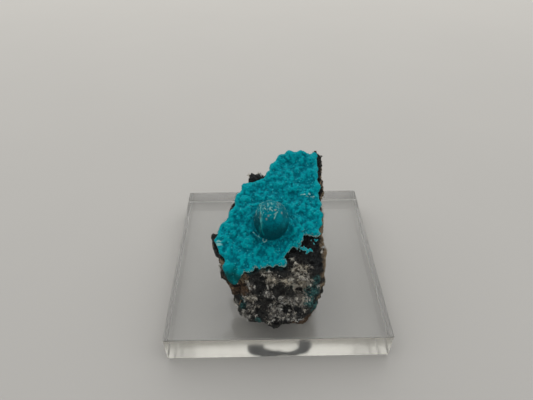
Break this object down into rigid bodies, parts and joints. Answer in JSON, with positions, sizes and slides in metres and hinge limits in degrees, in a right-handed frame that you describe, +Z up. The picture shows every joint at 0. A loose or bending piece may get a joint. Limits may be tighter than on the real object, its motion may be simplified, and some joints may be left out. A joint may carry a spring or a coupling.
{
  "type": "mounted mineral specimen",
  "caption": "Blue-green chrysocolla crust with one large ball on a sloping lump of dark matrix rock, fixed with tack to a square clear acrylic base.",
  "frame": {"origin": "middle of the base's underside, which is the bottom centre of the part's box", "axes": "+Z up, -Y towards the front, where the crust's sloping face looks, +X to the viewer's right"},
  "size_m": [0.0636, 0.0636, 0.0476],
  "materials": {
    "clear_acrylic": "polished",
    "grey_tack": "matte",
    "dark_matrix": "matte",
    "chrysocolla": "satin"
  },
  "bodies": {
    "root": {"acrylic_base": "clear_acrylic", "mineral_tack": "grey_tack", "matrix_rock": "dark_matrix", "chrysocolla_crust": "chrysocolla"}
  },
  "joints": []
}
